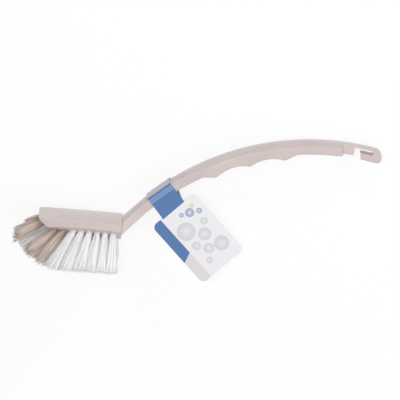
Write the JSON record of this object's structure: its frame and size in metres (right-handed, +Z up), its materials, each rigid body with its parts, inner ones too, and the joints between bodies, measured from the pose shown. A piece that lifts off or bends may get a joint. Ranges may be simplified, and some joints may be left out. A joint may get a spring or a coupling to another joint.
{
  "type": "dish brush",
  "caption": "Dish brush: arched moulded handle with finger ridges and a hanging hook, fanned white and tan bristle tufts anchored in its head, and a card label that slides on the neck.",
  "frame": {"origin": "centre of the bottom of the bounding box, on the surface that the brush lies on", "axes": "+X along the brush from the bristles to the hook, +Y from the bristle tips to the back of the brush, +Z up, out of the side that lies uppermost"},
  "size_m": [0.2424, 0.094, 0.0494],
  "materials": {
    "handle_plastic": "moulded polypropylene, satin",
    "white_bristle": "translucent white filament",
    "tan_bristle": "tan filament",
    "anchor_steel": "flattened wire",
    "label_card": "coated card"
  },
  "bodies": {
    "brush": {"handle_body": "handle_plastic", "tuft_anchors": "anchor_steel", "tuft_tan_front_1": "tan_bristle", "tuft_tan_front_2": "tan_bristle", "tuft_tan_front_3": "tan_bristle", "tuft_tan_left_edge_1": "tan_bristle", "tuft_tan_left_edge_2": "tan_bristle", "tuft_tan_right_edge_1": "tan_bristle", "tuft_tan_right_edge_2": "tan_bristle", "tuft_white_left_edge_1": "white_bristle", "tuft_white_left_edge_2": "white_bristle", "tuft_white_left_edge_3": "white_bristle", "tuft_white_left_edge_4": "white_bristle", "tuft_white_left_edge_5": "white_bristle", "tuft_white_left_edge_6": "white_bristle", "tuft_white_left_inner_1": "white_bristle", "tuft_white_left_inner_2": "white_bristle", "tuft_white_left_inner_3": "white_bristle", "tuft_white_left_inner_4": "white_bristle", "tuft_white_left_inner_5": "white_bristle", "tuft_white_left_inner_6": "white_bristle", "tuft_white_left_inner_7": "white_bristle", "tuft_white_left_inner_8": "white_bristle", "tuft_white_middle_1": "white_bristle", "tuft_white_middle_2": "white_bristle", "tuft_white_middle_3": "white_bristle", "tuft_white_middle_4": "white_bristle", "tuft_white_middle_5": "white_bristle", "tuft_white_middle_6": "white_bristle", "tuft_white_middle_7": "white_bristle", "tuft_white_middle_8": "white_bristle", "tuft_white_middle_9": "white_bristle", "tuft_white_right_edge_1": "white_bristle", "tuft_white_right_edge_2": "white_bristle", "tuft_white_right_edge_3": "white_bristle", "tuft_white_right_edge_4": "white_bristle", "tuft_white_right_edge_5": "white_bristle", "tuft_white_right_edge_6": "white_bristle", "tuft_white_right_inner_1": "white_bristle", "tuft_white_right_inner_2": "white_bristle", "tuft_white_right_inner_3": "white_bristle", "tuft_white_right_inner_4": "white_bristle", "tuft_white_right_inner_5": "white_bristle", "tuft_white_right_inner_6": "white_bristle", "tuft_white_right_inner_7": "white_bristle", "tuft_white_right_inner_8": "white_bristle"},
    "label": {"label_card": "label_card"}
  },
  "joints": [
    {"name": "label_slide", "type": "hinge", "parent": "brush", "child": "label", "pos_m": [0.07361, -0.12171, 0.01088], "axis": [0.0855, 0, 0.9963], "range_deg": [-2.2, 4.2]}
  ]
}
